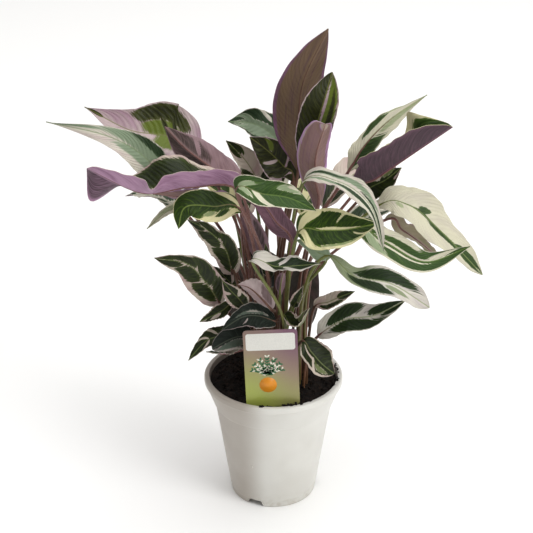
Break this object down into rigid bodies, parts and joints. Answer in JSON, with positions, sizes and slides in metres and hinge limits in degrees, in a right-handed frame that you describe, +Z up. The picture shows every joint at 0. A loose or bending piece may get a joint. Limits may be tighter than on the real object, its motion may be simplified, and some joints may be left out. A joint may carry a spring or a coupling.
{
  "type": "potted prayer plant",
  "caption": "Bushy prayer plant with long waved leaves marbled cream, green and mauve, standing in a tapered white nursery pot with a plant label.",
  "frame": {"origin": "middle of the pot's flat underside", "axes": "+Z up along the pot's axis; -Y towards the side with the plant label; +X to the right seen from that side"},
  "size_m": [0.4127, 0.2769, 0.4963],
  "materials": {
    "pot_plastic": "satin moulded, off-white",
    "peat": "loose dark potting peat",
    "label_card": "printed, satin",
    "leaf_green": "waxy, dark green feathers on cream, mauve underneath",
    "leaf_cream": "waxy, mostly cream with green flames, mauve underneath",
    "leaf_mauve": "satin mauve underside, green and cream above"
  },
  "bodies": {
    "root": {"pot": "pot_plastic", "soil": "peat", "label": "label_card", "leaf_crown_tall": "leaf_mauve", "leaf_crown_green": "leaf_green", "leaf_crown_rolled": "leaf_mauve", "leaf_rear_left": "leaf_green", "leaf_centre_striped": "leaf_green", "leaf_centre_pale": "leaf_green", "leaf_left_high": "leaf_green", "leaf_left_long": "leaf_green", "leaf_left_upright": "leaf_mauve", "leaf_left_banded": "leaf_cream", "leaf_left_inner": "leaf_green", "leaf_left_folded": "leaf_mauve", "leaf_left_shaded": "leaf_mauve", "leaf_left_green": "leaf_green", "leaf_left_sliver": "leaf_cream", "leaf_left_drooping": "leaf_green", "leaf_left_low": "leaf_green", "leaf_right_narrow": "leaf_cream", "leaf_right_folded": "leaf_mauve", "leaf_right_dark": "leaf_green", "leaf_right_cream": "leaf_cream", "leaf_right_long": "leaf_green", "leaf_right_under": "leaf_mauve", "leaf_right_waved": "leaf_green", "leaf_right_inner": "leaf_green", "leaf_right_low": "leaf_green", "leaf_right_small": "leaf_green", "leaf_front_green": "leaf_green", "leaf_front_mauve": "leaf_mauve", "leaf_front_white": "leaf_cream", "leaf_front_broad": "leaf_green", "leaf_front_low": "leaf_green", "leaf_inner_mauve": "leaf_mauve", "leaf_inner_dark": "leaf_green", "leaf_inner_bud": "leaf_mauve", "leaf_inner_folded": "leaf_green", "leaf_inner_low": "leaf_green", "leaf_inner_shaded": "leaf_green", "leaf_rim_curled": "leaf_green", "leaf_rim_arched": "leaf_green", "leaf_rim_left": "leaf_green", "leaf_rim_thin": "leaf_cream", "leaf_rim_long": "leaf_green", "leaf_low_short": "leaf_green", "leaf_low_small": "leaf_green", "leaf_low_curled": "leaf_mauve", "leaf_rim_right": "leaf_green", "leaf_back_1": "leaf_green", "leaf_back_2": "leaf_green", "leaf_back_3": "leaf_green", "leaf_back_4": "leaf_green", "leaf_back_5": "leaf_green", "leaf_back_6": "leaf_green", "leaf_back_7": "leaf_green", "leaf_back_8": "leaf_green", "leaf_back_9": "leaf_green", "leaf_back_10": "leaf_green"}
  },
  "joints": []
}
